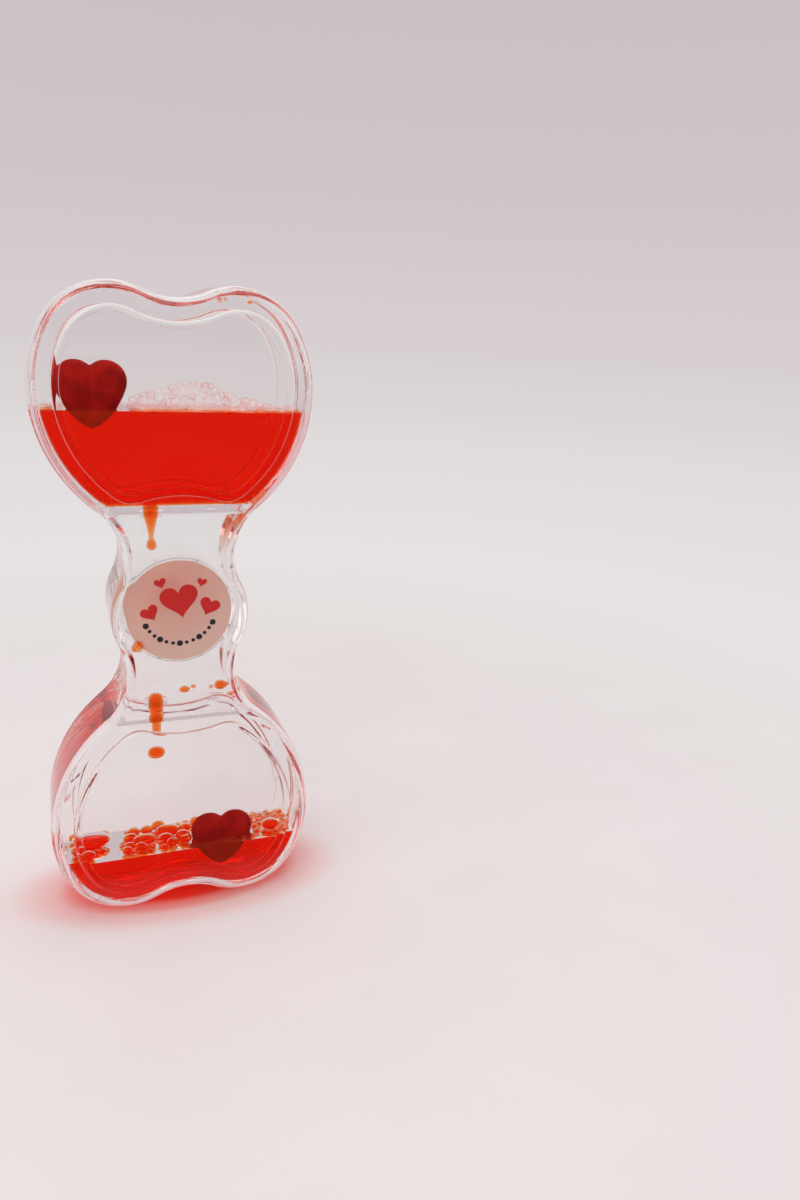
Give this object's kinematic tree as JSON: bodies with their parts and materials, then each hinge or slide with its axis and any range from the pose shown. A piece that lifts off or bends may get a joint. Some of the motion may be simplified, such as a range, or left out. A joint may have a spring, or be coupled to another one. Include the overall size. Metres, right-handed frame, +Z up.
{
  "type": "liquid motion timer",
  "caption": "Clear hand-size liquid timer: heart-shaped oil chambers joined by a round drip-wheel chamber; red water drips past a spinning medallion, and a red heart floats in each chamber.",
  "frame": {"origin": "middle of the base, on the level of the two rest flats", "axes": "+X is the width, to the viewer's right; -Y is the front face; +Z is up through both hearts"},
  "size_m": [0.0582, 0.0246, 0.14],
  "materials": {
    "clear_plastic": "clear polished polystyrene",
    "wheel_plastic": "milky white moulded plastic",
    "axle_steel": "bright pin",
    "label": "printed peach and cream film",
    "plug_plastic": "clear moulded plug",
    "red_float": "flocked deep red",
    "red_liquid": "dyed red water"
  },
  "bodies": {
    "housing": {"front_shell": "clear_plastic", "rear_shell": "clear_plastic", "upper_partition": "clear_plastic", "lower_partition": "clear_plastic", "wheel_axle": "axle_steel", "fill_plug": "plug_plastic", "vent_plug": "plug_plastic", "upper_red_liquid": "red_liquid", "lower_red_liquid": "red_liquid", "upper_drip": "red_liquid", "lower_drip": "red_liquid"},
    "wheel": {"drip_wheel": "wheel_plastic", "wheel_cap": "wheel_plastic", "front_label": "label", "rear_label": "label"},
    "upper_float": {"upper_heart": "red_float"},
    "lower_float": {"lower_heart": "red_float"}
  },
  "joints": [
    {"name": "wheel_spin", "type": "hinge", "parent": "housing", "child": "wheel", "pos_m": [0, 0, 0.07], "axis": [0, 1, 0], "continuous": true},
    {"name": "upper_float_slide", "type": "slide", "parent": "housing", "child": "upper_float", "axis": [-0.1451, 0, 0.9894], "range_m": [-0.01515, 0.001], "deforming": ["upper_red_liquid"]},
    {"name": "lower_float_slide", "type": "slide", "parent": "housing", "child": "lower_float", "axis": [0, 0, 1], "range_m": [-0.001, 0.015], "deforming": ["lower_red_liquid"]}
  ],
  "couplings": [
    {"joint": "lower_float_slide", "follows": "upper_float_slide", "ratio": -0.989}
  ]
}
